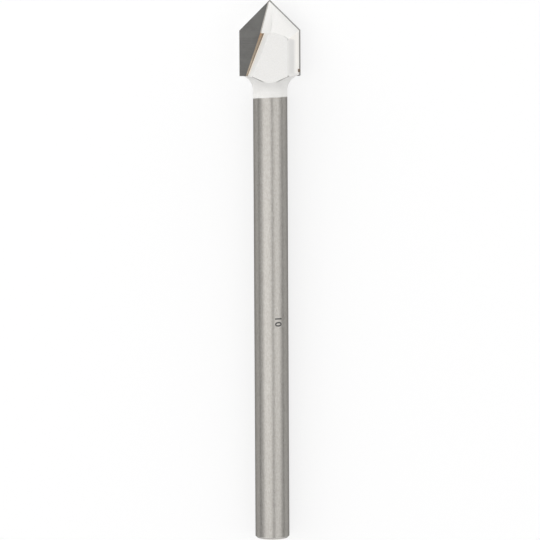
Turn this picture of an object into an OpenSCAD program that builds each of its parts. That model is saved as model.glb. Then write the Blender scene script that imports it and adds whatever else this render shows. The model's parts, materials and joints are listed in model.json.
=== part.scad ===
// Glass and tile drill bit: a turned steel body whose slotted head carries one brazed carbide tip.
// It lies on its rear flat, with the point toward +Y and the left rake face looking up.

/* [Overall] */
// Length from the shank end to the point
overall_length = 90; // [70:1:150]
// Diameter of the hole that the tip cuts
cutting_d = 10.2; // [9.4:0.1:11]
// Angle between the two cutting lips
point_angle = 90; // [84:1:100]

/* [Shank] */
// Diameter of the plain shank
shank_d = 5.7; // [5:0.1:6.2]
// Chamfer round the shank end
shank_chamfer = 0.3; // [0.1:0.05:0.6]
// Radius of the hollow neck between shank and head
neck_radius = 2.8; // [2.4:0.1:5]

/* [Steel head] */
// Depth below the point at which the head ends and the neck starts
head_length = 12.3; // [11:0.05:16]
// Step from the cutting circle down to the steel head
head_step = 0.03; // [0:0.01:0.2]
// Distance by which each half of the head is ground off centre
head_relief = 0.88; // [0.6:0.02:1]
// Distance between the front flat and the rear flat
across_flats = 6.6; // [6.2:0.1:7.2]
// Clearance angle of the ground steel flank behind each lip
flank_relief = 20.1; // [16:0.1:24]
// Drop of the steel flank below the edge of the carbide
flank_drop = 0.05; // [0.02:0.01:0.2]

/* [Carbide tip] */
// Thickness of the carbide plate
tip_thickness = 1.2; // [1:0.1:1.8]
// Length of the plate below the end of the head
tip_overhang = 0.25; // [0.1:0.05:0.8]
// Clearance angle ground on each lip of the plate
lip_relief = 4.5; // [3:0.1:8]
// Clearance angle ground on each side of the plate
side_relief = 10; // [4:0.5:14]

/* [Flutes] */
// Distance from the axis to the foot of the gash at the point
gash_offset = 0.2; // [0.1:0.05:0.5]
// Depth below the point at which the gash ends and the flute starts
gash_depth = 5.45; // [4.5:0.05:6.5]
// Lean of the gash wall away from the axis
gash_lean = 14.7; // [12:0.1:18]
// Angle at which the hollow wall of the gash leaves the rake face
gash_entry = 27; // [20:1:35]
// Step from the foot of the gash back to the foot of the flute
flute_step = 0.57; // [0.4:0.01:0.9]
// Distance from the axis to the foot of the flute at its lower end
flute_end = 3.77; // [3.5:0.01:3.9]
// Draft of the flute wall
flute_draft = 17.5; // [12:0.1:22]

/* [Braze] */
// Thickness of the braze film between plate and slot
braze_film = 0.1; // [0.05:0.01:0.2]
// Radius of the hollow braze seam along each flute
seam_radius = 1.5; // [1.2:0.05:2.5]
// Angle at which the seam leaves the rake face
seam_contact = 15; // [10:1:25]
// Width of the seam at its upper end
seam_start = 0.54; // [0.4:0.01:0.56]
// Width of the seam at its lower end
seam_end = 0.25; // [0.2:0.01:0.4]
// Diameter of the bead squeezed out behind the right lip
bead_d = 0.6; // [0.56:0.02:0.8]
// Distance from the joint line in toward the axis to the middle of the bead
bead_in = 0.06; // [0.02:0.01:0.08]
// Distance from the joint line forward to the middle of the bead
bead_front = 0.25; // [0.22:0.01:0.26]
// Height of the bead above the end of the plate
bead_height = 0.9; // [0.5:0.1:2]

/* [Hidden] */
$fn = 96;

shank_r = shank_d / 2;
head_r = cutting_d / 2 - head_step;
neck_rise = neck_radius - (head_r - shank_r);
neck_end = head_length + sqrt(neck_radius * neck_radius - neck_rise * neck_rise);
tip_length = head_length + tip_overhang;
// The rake faces lie this far in front of and behind the axis
rake_y = tip_thickness / 2;
slot_y = rake_y + braze_film;
lip_slope = 90 - point_angle / 2;
lip_reach = sqrt(cutting_d * cutting_d / 4 - rake_y * rake_y);
lip_drop = rake_y * tan(lip_relief) / cos(lip_slope);
margin_fall = tip_thickness * tan(side_relief);
flank_half_angle = acos(cos(point_angle / 2) * cos(flank_relief));
// The wheel that grinds the gash has its middle level with the flat
gash_rise = across_flats / 2 - rake_y;
gash_radius = gash_rise / cos(gash_entry);
gash_foot = gash_offset + gash_depth * tan(gash_lean);
flute_foot = gash_foot - flute_step;
flute_length = tip_length - gash_depth;
flute_lean = atan((flute_end - flute_foot) / flute_length);
seam_foot = flute_foot + seam_start;
seam_lean = atan((flute_end + seam_end - seam_foot) / flute_length);
// Size of the blocks that stand for a half space
reach = 2 * (cutting_d + head_length);

// The working frame has the point at the origin, the axis along Z and the front face toward -Y
module laid_down()
{
  translate([0, overall_length / 2, across_flats / 2])
    rotate([-90, 0, 0])
      children();
}

// Both halves of the head are alike, half a turn apart
module both_halves()
{
  for (turn = [0, 180])
    rotate([0, 0, turn])
      children();
}

// Everything in front of the left rake face between two depths
module front_window(top, bottom)
{
  translate([-reach, -reach, -bottom])
    cube([2 * reach, reach - rake_y, bottom - top]);
}

// Everything to the left of the axis
module left_half()
{
  translate([-reach, -reach, -reach])
    cube([reach, 2 * reach, 2 * reach]);
}

// Hollow wall that starts at its foot on the rake face and stands upright at the flat
module gash()
{
  intersection() {
    translate([-gash_offset, -rake_y - gash_rise, 0])
      rotate([0, gash_lean, 0])
        translate([-gash_rise * tan(gash_entry), 0, 0]) {
          cylinder(h = 2 * reach, r = gash_radius, center = true);
          left_half();
        }
    front_window(-reach, gash_depth);
  }
}

// Flat wall that starts at its foot on the rake face
module flute()
{
  intersection() {
    translate([-flute_foot, -rake_y, -gash_depth])
      rotate([0, flute_lean, 0])
        rotate([0, 0, flute_draft])
          left_half();
    front_window(gash_depth, tip_length);
  }
}

// Takes the front half of the head down to a cone that leans back from the right lip
module flank_cut()
{
  cone_h = 2 * head_length;
  difference() {
    translate([-reach, -reach, -head_length])
      cube([2 * reach, reach, 2 * head_length]);
    translate([0, -rake_y, -lip_drop - flank_drop])
      rotate([flank_relief, 0, 0])
        translate([0, 0, -cone_h])
          cylinder(h = cone_h, r1 = cone_h * tan(flank_half_angle), r2 = 0);
  }
}

// Shank, hollow neck and head as one turned piece
module turned_blank()
{
  rotate_extrude()
    difference() {
      polygon([
        [0, -overall_length],
        [shank_r - shank_chamfer, -overall_length],
        [shank_r, shank_chamfer - overall_length],
        [shank_r, -neck_end],
        [head_r, -neck_end],
        [head_r, 0],
        [0, 0]
      ]);
      translate([shank_r + neck_radius, -neck_end])
        circle(r = neck_radius);
    }
}

// Blank with each half of the head ground off centre, two flats, two flanks, two gashes and two flutes
module ground_body()
{
  difference() {
    intersection() {
      turned_blank();
      translate([0, head_relief, 0])
        cylinder(h = 3 * overall_length, r = head_r, center = true);
      translate([0, -head_relief, 0])
        cylinder(h = 3 * overall_length, r = head_r, center = true);
      cube([2 * reach, across_flats, 3 * overall_length], center = true);
    }
    both_halves() {
      flank_cut();
      gash();
      flute();
    }
  }
}

module slot()
{
  translate([-reach, -slot_y, -tip_length - braze_film])
    cube([2 * reach, 2 * slot_y, 2 * reach]);
}

module slotted_body()
{
  difference() {
    ground_body();
    slot();
  }
}

// Plate that runs right across the slot, ground to two lips that meet in a short chisel edge
module plate()
{
  difference() {
    translate([0, 0, -tip_length])
      linear_extrude(height = tip_length)
        polygon([
          [lip_reach, rake_y],
          [margin_fall - lip_reach, rake_y],
          [-lip_reach, -rake_y],
          [lip_reach - margin_fall, -rake_y]
        ]);
    both_halves()
      rotate([0, lip_slope, 0])
        rotate([lip_relief, 0, 0])
          translate([-reach, -reach, 0])
            cube([2 * reach, 2 * reach, reach]);
  }
}

// Film of braze that fills the slot beside and below the plate
module film()
{
  difference() {
    intersection() {
      slot();
      ground_body();
    }
    translate([-reach, -rake_y, -tip_length])
      cube([2 * reach, tip_thickness, 2 * reach]);
  }
}

// Hollow seam of braze in the corner between the rake face and the flute wall.
// It runs on behind the wall into the film.
module seam()
{
  axis_y = seam_radius * cos(seam_contact);
  axis_x = seam_radius * sin(seam_contact);
  intersection() {
    front_window(gash_depth, tip_length);
    translate([-seam_foot, -rake_y, -gash_depth])
      rotate([0, seam_lean, 0])
        difference() {
          translate([0, -seam_start, -reach])
            cube([2 * flute_step, seam_start, 2 * reach]);
          translate([-axis_x, -axis_y, -reach])
            cylinder(h = 2 * reach, r = seam_radius);
        }
  }
}

// Bead of braze on the joint line between the plate and the front of the head
module bead()
{
  joint_x = sqrt(head_r * head_r - (slot_y + head_relief) * (slot_y + head_relief));
  translate([joint_x - bead_in, -slot_y - bead_front, bead_height - tip_length])
    sphere(d = bead_d);
}

module drill_body()
{
  color([0.72, 0.71, 0.69])
    laid_down()
      slotted_body();
}

module carbide_tip()
{
  color([0.35, 0.35, 0.34])
    laid_down()
      plate();
}

module braze_filler()
{
  color([0.72, 0.5, 0.3])
    laid_down()
      union() {
        film();
        difference() {
          union() {
            both_halves()
              seam();
            bead();
          }
          slotted_body();
          plate();
        }
      }
}

drill_body();
carbide_tip();
braze_filler();
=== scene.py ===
import json
import math
from types import SimpleNamespace

import bmesh
import bpy
from mathutils import Matrix, Vector


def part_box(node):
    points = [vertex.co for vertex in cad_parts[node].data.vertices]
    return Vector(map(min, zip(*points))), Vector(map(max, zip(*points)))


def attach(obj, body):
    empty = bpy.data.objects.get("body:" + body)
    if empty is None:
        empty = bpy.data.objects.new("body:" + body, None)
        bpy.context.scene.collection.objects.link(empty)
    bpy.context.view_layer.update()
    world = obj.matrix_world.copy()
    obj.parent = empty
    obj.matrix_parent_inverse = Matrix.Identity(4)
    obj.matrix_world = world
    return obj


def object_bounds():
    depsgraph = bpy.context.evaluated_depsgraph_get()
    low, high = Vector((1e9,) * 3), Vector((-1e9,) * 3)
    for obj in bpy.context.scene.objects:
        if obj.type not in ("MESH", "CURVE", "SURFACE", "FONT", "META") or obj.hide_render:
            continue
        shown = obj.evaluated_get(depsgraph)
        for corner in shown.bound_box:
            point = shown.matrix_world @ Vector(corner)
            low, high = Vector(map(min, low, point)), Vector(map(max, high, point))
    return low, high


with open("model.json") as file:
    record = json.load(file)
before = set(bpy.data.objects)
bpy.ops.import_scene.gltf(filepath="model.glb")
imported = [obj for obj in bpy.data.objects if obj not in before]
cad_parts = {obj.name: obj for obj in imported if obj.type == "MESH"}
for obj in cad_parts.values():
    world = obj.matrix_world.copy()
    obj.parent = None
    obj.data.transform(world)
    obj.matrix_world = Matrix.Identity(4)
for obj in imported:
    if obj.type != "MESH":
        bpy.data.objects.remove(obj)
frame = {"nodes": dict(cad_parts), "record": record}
cad_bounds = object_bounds()
scene = bpy.context.scene
MM = 0.001

# Sizes that the frame gives, in millimetres
part_low, part_high = cad_bounds
tip_low, tip_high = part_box("carbide_tip")
POINT_Y = part_high.y / MM
LENGTH = (part_high.y - part_low.y) / MM
AXIS_Z = (part_high.z + part_low.z) / 2 / MM
FLAT_HEIGHT = (part_high.z - part_low.z) / 2 / MM
RAKE_HEIGHT = (tip_high.z - tip_low.z) / 2 / MM
TIP_LENGTH = (tip_high.y - tip_low.y) / MM
SHANK_R = frame["record"]["mounts"][0]["dims"]["r_mm"]

# Other sizes of the CAD part that the materials follow, in millimetres
SHANK_CHAMFER = 0.3
TIP_OVERHANG = 0.25
HEAD_R = 5.07
HEAD_RELIEF = 0.88
HEAD_LENGTH = TIP_LENGTH - TIP_OVERHANG
# Depth below the point at which the gash ends and the flute starts
GASH_DEPTH = 5.45
FLUTE_LENGTH = TIP_LENGTH - GASH_DEPTH
# Depth below the point at which the round side's shade starts, just past the end of the flank
SHADE_TOP = 6.5
# Foot of the flute wall: distance from the axis at its top and at its lower end
FOOT_TOP = 1.06
FOOT_END = 3.77
FOOT_LEAN = (FOOT_END - FOOT_TOP) / FLUTE_LENGTH
# Braze seam beside that foot: width at its top and at its lower end
SEAM_TOP = 0.54
SEAM_END = 0.25
SEAM_TAPER = (SEAM_TOP - SEAM_END) / FLUTE_LENGTH

# Border between blasted neck and ground shank: depth below the point, half its blur and how far it
# wanders in millimetres, and its slopes along x and z
FINISH_DEPTH = 16.18
FINISH_BLUR = 0.1
FINISH_WANDER = 0.25
FINISH_SLOPE_X = 0.044
FINISH_SLOPE_Z = 0.06

# Number printed on the shank: height of its digits, place of its middle along y, thickness outside
# and inside the surface in millimetres, turn from the top of the shank in degrees, bands of a digit
MARK = "10"
MARK_HEIGHT = 1.2
MARK_Y = -8.45
MARK_PROUD = 0.008
MARK_SUNK = 0.04
MARK_TURN = 24.5
MARK_BANDS = 12

# Colours in linear light
STEEL_DARK = (0.288, 0.275, 0.255)
STEEL_LIGHT = (0.36, 0.344, 0.32)
STEEL_STREAK = (0.275, 0.264, 0.245)
STEEL_SPECK = (0.44, 0.426, 0.404)
# Painted reflection on the chamfer at the shank's end
CHAMFER_PAINTED_REFLECTION = (0.55, 0.535, 0.51)
STEEL_EDGE_TINT = (0.45, 0.45, 0.45)
BLAST_DARK = (0.745, 0.736, 0.718)
BLAST_LIGHT = (0.805, 0.796, 0.778)
STRAW = (0.93, 0.83, 0.69)
# Painted highlight on the round side of the head
SIDE_PAINTED_HIGHLIGHT = (0.9, 0.876, 0.836)
SIDE_SHADE = (0.69, 0.682, 0.666)
# Painted shade at the ends of the flat's edges
EDGE_PAINTED_SHADE = (0.2, 0.195, 0.185)
CARBIDE_DARK = (0.109, 0.107, 0.102)
CARBIDE_LIGHT = (0.131, 0.129, 0.124)
CARBIDE_CLOUD = (0.16, 0.158, 0.151)
COPPER_DARK = (0.34, 0.2, 0.11)
COPPER_LIGHT = (0.38, 0.27, 0.175)
TAN_DARK = (0.26, 0.215, 0.163)
TAN_LIGHT = (0.35, 0.293, 0.227)
# Lighter tan toward the seam's end: partly tarnish, partly a painted highlight
TAN_PAINTED_HIGHLIGHT = (0.5, 0.435, 0.35)
# Painted shade where the braze meets the flute wall
BRAZE_SHADE_DARK = (0.15, 0.11, 0.075)
BRAZE_SHADE_LIGHT = (0.2, 0.155, 0.115)
BRAZE_GROUND = (0.45, 0.43, 0.4)
INK_BLACK = (0.03, 0.03, 0.031)
INK_WORN = (0.07, 0.07, 0.07)
FLOOR_WHITE = (0.94, 0.94, 0.94)
STUDIO_GREY = (0.32, 0.32, 0.32)


class Nodes:
    """A new material's nodes, with a short call for each kind that the materials use."""

    def __init__(self, name):
        self.material = bpy.data.materials.new(name)
        self.material.use_nodes = True
        self.tree = self.material.node_tree
        self.shader = self.tree.nodes["Principled BSDF"]

    def feed(self, socket, value):
        """Links a socket to another node's output, or sets a number or a colour on it."""
        if isinstance(value, bpy.types.NodeSocket):
            self.tree.links.new(value, socket)
        elif isinstance(value, tuple):
            socket.default_value = (*value, 1.0)
        else:
            socket.default_value = value

    def paint(self, label, value):
        """Feeds one input of the material's shader."""
        self.feed(self.shader.inputs[label], value)

    def maths(self, operation, *values):
        made = self.tree.nodes.new("ShaderNodeMath")
        made.operation = operation
        for socket, value in zip(made.inputs, values):
            self.feed(socket, value)
        return made.outputs[0]

    def product(self, result, *factors):
        for factor in factors:
            result = self.maths("MULTIPLY", result, factor)
        return result

    def total(self, result, *terms):
        for term in terms:
            result = self.maths("ADD", result, term)
        return result

    def ramp(self, value, low, high, start, end):
        """Runs smoothly from start to end while the value runs from low to high."""
        made = self.tree.nodes.new("ShaderNodeMapRange")
        made.interpolation_type = "SMOOTHSTEP"
        self.feed(made.inputs["Value"], value)
        self.feed(made.inputs["From Min"], low)
        self.feed(made.inputs["From Max"], high)
        self.feed(made.inputs["To Min"], start)
        self.feed(made.inputs["To Max"], end)
        return made.outputs["Result"]

    def rise(self, value, low, high, top=1.0):
        return self.ramp(value, low, high, 0.0, top)

    def fall(self, value, low, high, top=1.0):
        return self.ramp(value, low, high, top, 0.0)

    def blend(self, factor, first, second):
        """Colour between the first and the second."""
        made = self.tree.nodes.new("ShaderNodeMix")
        made.data_type = "RGBA"
        # Inputs 6 and 7 and output 2 are the colour sockets of a mix node
        self.feed(made.inputs["Factor"], factor)
        self.feed(made.inputs[6], first)
        self.feed(made.inputs[7], second)
        return made.outputs[2]

    def place(self):
        """Place in the part's own frame, in metres."""
        return self.tree.nodes.new("ShaderNodeTexCoord").outputs["Object"]

    def noise(self, per_mm, detail=3.0, rough=0.55):
        """Noise in the part's own frame, as fine as per_mm says along x, y and z."""
        mapping = self.tree.nodes.new("ShaderNodeMapping")
        mapping.inputs["Scale"].default_value = [fineness / MM for fineness in per_mm]
        self.feed(mapping.inputs["Vector"], self.place())
        made = self.tree.nodes.new("ShaderNodeTexNoise")
        self.feed(made.inputs["Vector"], mapping.outputs[0])
        self.feed(made.inputs["Scale"], 1.0)
        self.feed(made.inputs["Detail"], detail)
        self.feed(made.inputs["Roughness"], rough)
        return made.outputs[0]

    def bump(self, height, strength, distance):
        """Normal of a surface with that relief, whose distance is in millimetres."""
        made = self.tree.nodes.new("ShaderNodeBump")
        self.feed(made.inputs["Height"], height)
        self.feed(made.inputs["Strength"], strength)
        self.feed(made.inputs["Distance"], distance * MM)
        return made.outputs[0]

    def places(self):
        """Places on the part in millimetres, most of them alike on its front and its back half."""
        split = self.tree.nodes.new("ShaderNodeSeparateXYZ")
        self.feed(split.inputs[0], self.place())
        x, y, z = [self.maths("DIVIDE", axis, MM) for axis in split.outputs]
        front = self.maths("SUBTRACT", z, AXIS_Z)
        off_axis = self.maths("ABSOLUTE", front)
        return SimpleNamespace(
            x=x,
            front=front,
            off_axis=off_axis,
            below_point=self.maths("SUBTRACT", POINT_Y, y),
            above_rake=self.maths("SUBTRACT", off_axis, RAKE_HEIGHT),
            below_flat=self.maths("SUBTRACT", FLAT_HEIGHT, off_axis),
            to_right=self.maths("MULTIPLY", x, self.maths("SIGN", front)),
        )


# Steel body


def finish_line(nodes, at):
    """0 on the blasted head and neck, 1 on the ground shank, with a slightly sloping, ragged border."""
    slope = nodes.total(nodes.product(at.x, FINISH_SLOPE_X), nodes.product(at.front, FINISH_SLOPE_Z))
    ragged = nodes.maths("SUBTRACT", nodes.noise((2.5, 2.5, 2.5)), 0.5)
    depth = nodes.total(at.below_point, slope, nodes.product(ragged, FINISH_WANDER))
    return nodes.rise(depth, FINISH_DEPTH - FINISH_BLUR, FINISH_DEPTH + FINISH_BLUR)


def ground_steel(nodes, at, grain):
    """Lengthwise grain with broad streaks and fine specks, and a painted reflection that lightens the chamfer
    at the end.
    """
    colour = nodes.blend(nodes.rise(grain, 0.3, 0.7), STEEL_DARK, STEEL_LIGHT)
    streak = nodes.noise((1.4, 0.05, 1.4))
    colour = nodes.blend(nodes.rise(streak, 0.35, 0.7, top=0.35), colour, STEEL_STREAK)
    # The chamfer at the end is lightened with a painted reflection
    chamfer_start = LENGTH - SHANK_CHAMFER
    chamfer_reflection = nodes.rise(at.below_point, chamfer_start - 0.08, chamfer_start + 0.04)
    colour = nodes.blend(chamfer_reflection, colour, CHAMFER_PAINTED_REFLECTION)
    speck = nodes.noise((4.5, 2.25, 4.5), rough=0.6)
    return nodes.blend(nodes.rise(speck, 0.38, 0.68, top=0.4), colour, STEEL_SPECK)


def straw_tint(nodes, at):
    """Tint from the brazing heat at the foot of each flute wall."""
    return nodes.product(
        nodes.fall(at.above_rake, 0.25, 1.1, top=0.7),
        nodes.fall(at.to_right, -0.7, -0.5),
        nodes.rise(at.below_point, GASH_DEPTH - 0.25, GASH_DEPTH + 0.35),
        nodes.fall(at.below_point, HEAD_LENGTH - 0.2, HEAD_LENGTH + 0.2),
    )


def round_side(nodes, at):
    """The round side of the head behind each lip, on a circle that is ground off centre."""
    from_centre = nodes.maths("ADD", at.off_axis, HEAD_RELIEF)
    squares = nodes.total(nodes.product(at.x, at.x), nodes.product(from_centre, from_centre))
    radius = nodes.maths("SQRT", squares)
    return nodes.product(
        nodes.rise(radius, HEAD_R - 0.05, HEAD_R - 0.015),
        nodes.fall(at.below_point, HEAD_LENGTH - 0.5, HEAD_LENGTH),
    )


def joint_painted_highlight(nodes, at, side):
    """Painted highlight: a lighter strip of the round side along the joint, which takes in the whole side at
    its top.
    """
    widening = nodes.fall(at.below_point, SHADE_TOP - 0.6, SHADE_TOP + 0.2, top=1.5)
    from_joint = nodes.maths("SUBTRACT", at.above_rake, widening)
    return nodes.product(nodes.fall(from_joint, 1.0, 1.9, top=0.9), side)


def flat_shade(nodes, at, side):
    """Shade of the round side beside the flat."""
    return nodes.product(
        nodes.rise(at.below_flat, 0.0, 0.5, top=0.8),
        nodes.rise(at.above_rake, 1.5, 1.9),
        nodes.rise(at.below_point, SHADE_TOP - 0.3, SHADE_TOP + 0.3),
        side,
    )


def neck_painted_shade(nodes, at):
    """Painted shade: dark lines at both ends of the edge between flat and neck, where the neck's hollow meets
    the flat.
    """
    return nodes.product(
        nodes.rise(at.below_flat, 0.0, 0.02),
        nodes.fall(at.below_flat, 0.06, 0.3),
        nodes.rise(nodes.maths("ABSOLUTE", at.x), 0.8, 1.8, top=0.8),
        nodes.rise(at.below_point, HEAD_LENGTH + 0.02, HEAD_LENGTH + 0.1),
    )


def flank_painted_shade(nodes, at):
    """Painted shade: a short dark line at the outer end of the edge between flat and flank."""
    return nodes.product(
        nodes.rise(at.below_flat, 0.0, 0.02),
        nodes.fall(at.below_flat, 0.03, 0.16),
        nodes.rise(at.to_right, 2.0, 2.6, top=0.45),
        nodes.fall(at.below_point, SHADE_TOP - 0.05, SHADE_TOP + 0.1),
    )


def blasted_steel(nodes, at, grit):
    """Pale fine grit, with the tint that brazing left on the head, and painted shade and a painted highlight
    on its round sides and at the ends of the flat's edges.
    """
    side = round_side(nodes, at)
    colour = nodes.blend(nodes.rise(grit, 0.3, 0.7), BLAST_DARK, BLAST_LIGHT)
    colour = nodes.blend(straw_tint(nodes, at), colour, STRAW)
    # Painted highlight along the joint of the round side
    colour = nodes.blend(joint_painted_highlight(nodes, at, side), colour, SIDE_PAINTED_HIGHLIGHT)
    colour = nodes.blend(flat_shade(nodes, at, side), colour, SIDE_SHADE)
    # Painted shade at the ends of the flat's edges
    colour = nodes.blend(neck_painted_shade(nodes, at), colour, EDGE_PAINTED_SHADE)
    return nodes.blend(flank_painted_shade(nodes, at), colour, EDGE_PAINTED_SHADE)


def body_material():
    """Lengthwise ground shank and a pale blasted head, divided by the finish line."""
    nodes = Nodes("body_steel")
    at = nodes.places()
    shank = finish_line(nodes, at)
    head = nodes.maths("SUBTRACT", 1.0, shank)
    grain = nodes.noise((7, 0.5, 7), detail=4.0, rough=0.65)
    grit = nodes.noise((9, 9, 9), detail=4.0, rough=0.6)
    colour = nodes.blend(shank, blasted_steel(nodes, at, grit), ground_steel(nodes, at, grain))
    nodes.paint("Base Color", colour)
    nodes.paint("Specular Tint", STEEL_EDGE_TINT)
    head_metallic, shank_metallic = 0.12, 1.0
    nodes.paint("Metallic", nodes.ramp(shank, 0.0, 1.0, head_metallic, shank_metallic))
    head_roughness = 0.48
    shank_roughness = nodes.ramp(grain, 0.25, 0.75, 0.27, 0.34)
    roughness = nodes.total(nodes.product(shank_roughness, shank), nodes.product(head, head_roughness))
    nodes.paint("Roughness", roughness)
    shank_relief = 0.35
    relief = nodes.total(nodes.product(grain, shank, shank_relief), nodes.product(grit, head))
    nodes.paint("Normal", nodes.bump(relief, strength=0.35, distance=0.012))
    return nodes.material


# Carbide, braze and ink


def carbide_material():
    """Dark satin carbide with fine grinding lines across the plate."""
    nodes = Nodes("carbide")
    lines = nodes.noise((0.25, 14, 14), rough=0.6)
    cloud = nodes.noise((0.7, 0.7, 0.7))
    colour = nodes.blend(nodes.rise(lines, 0.3, 0.7), CARBIDE_DARK, CARBIDE_LIGHT)
    colour = nodes.blend(nodes.rise(cloud, 0.35, 0.7, top=0.5), colour, CARBIDE_CLOUD)
    nodes.paint("Base Color", colour)
    nodes.paint("Metallic", 0.55)
    nodes.paint("Roughness", nodes.ramp(lines, 0.25, 0.75, 0.36, 0.46))
    nodes.paint("Normal", nodes.bump(lines, strength=0.25, distance=0.004))
    return nodes.material


def braze_material():
    """Ground grey beside the gash, copper where the seam starts, tarnished to tan further down, with a
    painted highlight in the tan and a darker painted shade along the wall's foot.
    """
    nodes = Nodes("braze")
    at = nodes.places()
    cloud = nodes.noise((2.2, 2.2, 2.2), detail=4.0, rough=0.6)
    mottle = nodes.rise(cloud, 0.3, 0.7)
    copper = nodes.blend(mottle, COPPER_DARK, COPPER_LIGHT)
    tan = nodes.blend(mottle, TAN_DARK, TAN_LIGHT)
    wall_shade = nodes.blend(mottle, BRAZE_SHADE_DARK, BRAZE_SHADE_LIGHT)
    # Place along the seam in millimetres, and across it from 0 at the wall's foot to 1 at the rake face
    down = nodes.maths("SUBTRACT", at.below_point, GASH_DEPTH)
    foot = nodes.total(nodes.product(down, FOOT_LEAN), FOOT_TOP)
    width = nodes.maths("SUBTRACT", SEAM_TOP, nodes.product(down, SEAM_TAPER))
    from_foot = nodes.maths("SUBTRACT", nodes.product(at.to_right, -1.0), foot)
    across = nodes.maths("DIVIDE", from_foot, width)
    # The seam turns a lighter tan toward its end and along its middle: partly the braze's tarnish, partly a
    # painted highlight
    tan = nodes.blend(nodes.rise(down, 3.05, 5.55, top=0.55), tan, TAN_PAINTED_HIGHLIGHT)
    middle = nodes.blend(nodes.ramp(down, 0.15, 1.55, 0.2, 1.0), copper, tan)
    outer = nodes.blend(nodes.rise(down, 0.35, 2.15, top=0.75), copper, tan)
    colour = nodes.blend(nodes.rise(across, 0.45, 0.85), middle, outer)
    # Darker painted shade along the wall's foot, where the seam meets the wall
    colour = nodes.blend(nodes.fall(across, 0.05, 0.4), colour, wall_shade)
    colour = nodes.blend(nodes.rise(down, -0.25, 0.05), BRAZE_GROUND, colour)
    nodes.paint("Base Color", colour)
    nodes.paint("Metallic", 0.6)
    nodes.paint("Roughness", nodes.ramp(cloud, 0.3, 0.7, 0.38, 0.55))
    nodes.paint("Normal", nodes.bump(cloud, strength=0.3, distance=0.03))
    return nodes.material


def ink_material():
    """Black print, a little worn."""
    nodes = Nodes("mark_ink")
    wear = nodes.noise((6, 6, 6))
    nodes.paint("Base Color", nodes.blend(nodes.rise(wear, 0.4, 0.75), INK_BLACK, INK_WORN))
    nodes.paint("Roughness", nodes.ramp(wear, 0.3, 0.7, 0.42, 0.6))
    return nodes.material


def dress(piece, material):
    piece.data.materials.clear()
    piece.data.materials.append(material)


dress(frame["nodes"]["drill_body"], body_material())
dress(frame["nodes"]["carbide_tip"], carbide_material())
dress(frame["nodes"]["braze_filler"], braze_material())


# Size mark: a plain number printed on the shank, read from the point downwards


def digits_mesh(digits):
    """Solid digits in the font's own units, lying on the x-y plane."""
    curve = bpy.data.curves.new("size_mark", "FONT")
    curve.body = digits
    curve.extrude = 0.5
    curve.offset = 0.02
    curve.space_character = 1.12
    curve.resolution_u = 6
    source = bpy.data.objects.new("size_mark_source", curve)
    scene.collection.objects.link(source)
    bpy.context.view_layer.update()
    mesh = bpy.data.meshes.new_from_object(source.evaluated_get(bpy.context.evaluated_depsgraph_get()))
    bpy.data.objects.remove(source)
    bpy.data.curves.remove(curve)
    return mesh


def wrap_round_shank(work):
    """Scales the digits to their height and lays them round the shank, as a skin just through its surface."""
    low = Vector([min(v.co[i] for v in work.verts) for i in range(3)])
    high = Vector([max(v.co[i] for v in work.verts) for i in range(3)])
    middle = (low + high) / 2
    scale = MARK_HEIGHT / (high.y - low.y)
    # Cuts across each digit let its faces follow the round surface
    for band in range(1, MARK_BANDS):
        level = low.y + (high.y - low.y) * band / MARK_BANDS
        everything = work.verts[:] + work.edges[:] + work.faces[:]
        bmesh.ops.bisect_plane(work, geom=everything, plane_co=(0, level, 0), plane_no=(0, 1, 0))
    bmesh.ops.triangulate(work, faces=work.faces[:])
    for v in work.verts:
        along = (v.co.x - middle.x) * scale
        turn = math.radians(MARK_TURN) + (v.co.y - middle.y) * scale / SHANK_R
        radius = SHANK_R + MARK_PROUD if v.co.z > middle.z else SHANK_R - MARK_SUNK
        v.co = Vector((radius * math.sin(turn), MARK_Y - along, AXIS_Z + radius * math.cos(turn))) * MM
    bmesh.ops.recalc_face_normals(work, faces=work.faces[:])


def size_mark():
    mesh = digits_mesh(MARK)
    work = bmesh.new()
    work.from_mesh(mesh)
    weld = 1e-5
    bmesh.ops.remove_doubles(work, verts=work.verts, dist=weld)
    wrap_round_shank(work)
    work.to_mesh(mesh)
    work.free()
    mark = bpy.data.objects.new("size_mark", mesh)
    scene.collection.objects.link(mark)
    dress(mark, ink_material())
    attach(mark, "root")


size_mark()


# Floor, light and camera


def floor_material(shown_white):
    """Matt white that takes the shadow, with a share of plain white wherever it is seen."""
    nodes = Nodes("floor")
    nodes.paint("Base Color", FLOOR_WHITE)
    nodes.paint("Roughness", 0.9)
    nodes.paint("Specular IOR Level", 0.0)
    path = nodes.tree.nodes.new("ShaderNodeLightPath").outputs
    seen = nodes.total(path["Is Camera Ray"], path["Is Glossy Ray"], path["Is Transmission Ray"])
    white = nodes.tree.nodes.new("ShaderNodeEmission")
    mix = nodes.tree.nodes.new("ShaderNodeMixShader")
    nodes.feed(mix.inputs["Fac"], nodes.product(seen, shown_white))
    nodes.feed(mix.inputs[1], nodes.shader.outputs[0])
    nodes.feed(mix.inputs[2], white.outputs[0])
    nodes.feed(nodes.tree.nodes["Material Output"].inputs["Surface"], mix.outputs[0])
    return nodes.material


def floor(reach):
    """Square floor at height 0 that reaches so many metres to each side."""
    corners = [(-reach, -reach, 0), (reach, -reach, 0), (reach, reach, 0), (-reach, reach, 0)]
    mesh = bpy.data.meshes.new("floor")
    mesh.from_pydata(corners, [], [(0, 1, 2, 3)])
    plane = bpy.data.objects.new("floor", mesh)
    scene.collection.objects.link(plane)
    dress(plane, floor_material(shown_white=0.7))


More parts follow.
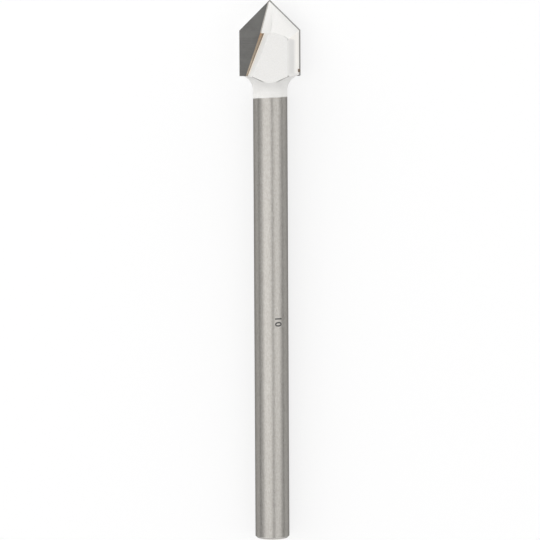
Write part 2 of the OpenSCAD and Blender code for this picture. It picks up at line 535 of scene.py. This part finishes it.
def softbox(name, zenith, lean, away, width, length, radiance):
    """Area light that faces the bit, placed by degrees off the zenith toward +X and degrees of lean toward
    the point. Distance and size are in metres."""
    light = bpy.data.lights.new(name, "AREA")
    light.shape = "RECTANGLE"
    light.size = width
    light.size_y = length
    light.energy = radiance * math.pi * width * length
    lamp = bpy.data.objects.new(name, light)
    scene.collection.objects.link(lamp)
    off = math.radians(zenith)
    toward = math.radians(lean)
    place = Vector((math.sin(off) * math.cos(toward), math.sin(toward), math.cos(off) * math.cos(toward)))
    across = Vector((math.cos(off), 0.0, -math.sin(off)))
    lamp.matrix_world = Matrix((across, place.cross(across), place)).transposed().to_4x4()
    lamp.location = place * away
    lamp.visible_camera = False


floor(reach=4)
softbox("left_key", zenith=-25, lean=-6, away=0.60, width=0.66, length=0.30, radiance=1.05)
softbox("left_fill", zenith=-34, lean=-6, away=0.62, width=1.24, length=0.30, radiance=0.85)
softbox("right_key", zenith=39, lean=-6, away=0.60, width=0.48, length=0.30, radiance=0.84)
softbox("right_fill", zenith=47, lean=-6, away=0.62, width=0.80, length=0.30, radiance=0.78)
softbox("left_point", zenith=-69, lean=44, away=0.70, width=0.42, length=0.62, radiance=2.9)
softbox("right_point", zenith=80, lean=30, away=0.60, width=0.32, length=0.50, radiance=1.75)
softbox("point_fill", zenith=8, lean=62, away=0.60, width=1.00, length=0.40, radiance=0.95)
softbox("shank_fill", zenith=0, lean=-56, away=0.60, width=0.60, length=0.30, radiance=1.1)

world = bpy.data.worlds.new("studio")
world.use_nodes = True
world.node_tree.nodes["Background"].inputs["Color"].default_value = (*STUDIO_GREY, 1.0)
scene.world = world
scene.view_settings.view_transform = "Standard"


def camera(distance, tilt, roll, aim, photo_width):
    """Camera above the bit, tilted toward the point and rolled by some degrees, as in the photo. Lengths are
    in millimetres, and photo_width is what the photo shows from side to side at the place aimed at."""
    tilted = math.radians(tilt)
    rolled = math.radians(roll)
    back = Vector((0, math.sin(tilted), math.cos(tilted)))
    across = Vector((1, 0, 0))
    along = Vector((0, math.cos(tilted), -math.sin(tilted)))
    right = across * math.cos(rolled) - along * math.sin(rolled)
    up = across * math.sin(rolled) + along * math.cos(rolled)
    lens = bpy.data.cameras.new("camera")
    lens.sensor_width = 36.0
    lens.lens = lens.sensor_width * distance / photo_width
    lens.clip_start = 0.05
    lens.clip_end = 20.0
    eye = bpy.data.objects.new("camera", lens)
    scene.collection.objects.link(eye)
    eye.matrix_world = Matrix((right, up, back)).transposed().to_4x4()
    eye.location = (Vector(aim) + back * distance) * MM
    scene.camera = eye


camera(distance=700.0, tilt=6.0, roll=0.302, aim=(-0.182, 0.055, AXIS_Z), photo_width=90.018)
